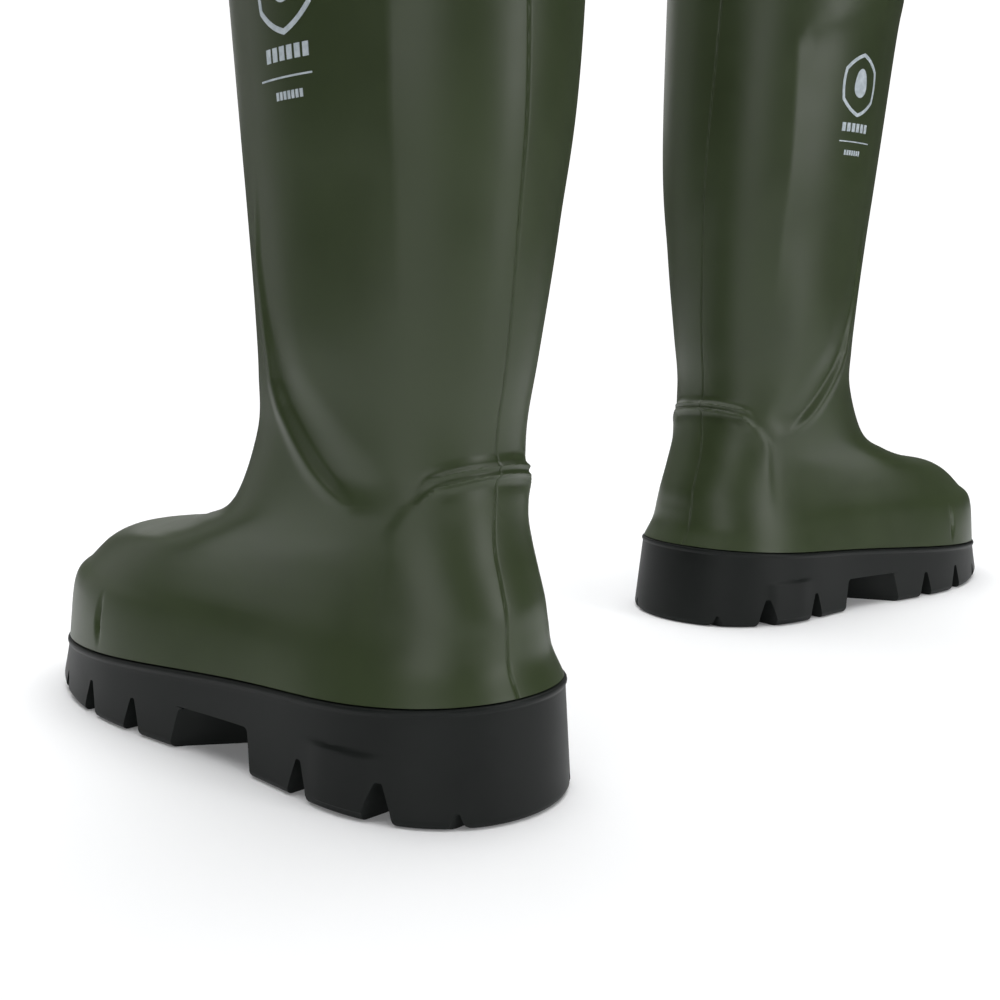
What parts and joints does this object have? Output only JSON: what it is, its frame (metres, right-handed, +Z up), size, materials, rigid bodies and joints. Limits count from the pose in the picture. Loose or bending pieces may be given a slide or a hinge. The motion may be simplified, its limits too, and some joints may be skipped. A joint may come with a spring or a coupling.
{
  "type": "pair of rubber boots",
  "caption": "Pair of knee-high moulded rubber work boots with open shafts, steel toe caps, removable footbeds and cleated soles.",
  "frame": {"origin": "middle of the pair's bounding box, on the floor the soles stand on", "axes": "+Z up along the shafts, +X across the pair towards the right boot, +Y ahead, the way the wearer faces"},
  "size_m": [0.5764, 0.506, 0.4003],
  "materials": {
    "upper": "satin olive green moulded polyurethane",
    "sole": "satin black moulded polyurethane",
    "lining": "pale knitted lining",
    "steel": "plain pressed steel, hidden inside",
    "board": "pressed fibre board",
    "foam": "dark grey foam with a woven top"
  },
  "bodies": {
    "left_foot": {"left_outsole_rear": "sole", "left_outsole_ball_flex": "sole", "left_upper_foot": "upper", "left_upper_ball_flex": "upper", "left_upper_ankle_flex": "upper", "left_lining_foot": "lining", "left_midsole_plate_rear": "steel", "left_insole_board_rear": "board", "left_footbed_rear": "foam"},
    "left_toe": {"left_outsole_toe": "sole", "left_upper_toe": "upper", "left_lining_toe": "lining", "left_toe_cap": "steel", "left_midsole_plate_toe": "steel", "left_insole_board_toe": "board", "left_footbed_toe": "foam"},
    "left_shaft": {"left_upper_shaft": "upper", "left_collar_rim": "upper", "left_lining_shaft": "lining"},
    "right_foot": {"right_outsole_rear": "sole", "right_outsole_ball_flex": "sole", "right_upper_foot": "upper", "right_upper_ball_flex": "upper", "right_upper_ankle_flex": "upper", "right_lining_foot": "lining", "right_midsole_plate_rear": "steel", "right_insole_board_rear": "board", "right_footbed_rear": "foam"},
    "right_toe": {"right_outsole_toe": "sole", "right_upper_toe": "upper", "right_lining_toe": "lining", "right_toe_cap": "steel", "right_midsole_plate_toe": "steel", "right_insole_board_toe": "board", "right_footbed_toe": "foam"},
    "right_shaft": {"right_upper_shaft": "upper", "right_collar_rim": "upper", "right_lining_shaft": "lining"}
  },
  "joints": [
    {"name": "left_ankle_bend", "type": "hinge", "parent": "left_foot", "child": "left_shaft", "pos_m": [-0.12612, -0.17618, 0.125], "axis": [-0.749, -0.6626, 0], "range_deg": [-10, 20], "stiffness_Nm_per_rad": 8, "deforming": ["left_upper_ankle_flex"]},
    {"name": "left_toe_bend", "type": "hinge", "parent": "left_foot", "child": "left_toe", "pos_m": [-0.19768, -0.09529, 0.039], "axis": [0.749, 0.6626, 0], "range_deg": [0, 20], "stiffness_Nm_per_rad": 12, "deforming": ["left_upper_ball_flex", "left_outsole_ball_flex"]},
    {"name": "right_boot_lift", "type": "slide", "parent": "left_foot", "child": "right_foot", "axis": [0, 0, 1], "range_m": [0, 0.5]},
    {"name": "right_ankle_bend", "type": "hinge", "parent": "right_foot", "child": "right_shaft", "pos_m": [0.10773, 0.10108, 0.125], "axis": [-0.6225, 0.7826, 0], "range_deg": [-10, 20], "stiffness_Nm_per_rad": 8, "deforming": ["right_upper_ankle_flex"]},
    {"name": "right_toe_bend", "type": "hinge", "parent": "right_foot", "child": "right_toe", "pos_m": [0.19225, 0.16831, 0.039], "axis": [0.6225, -0.7826, 0], "range_deg": [0, 20], "stiffness_Nm_per_rad": 12, "deforming": ["right_upper_ball_flex", "right_outsole_ball_flex"]}
  ]
}
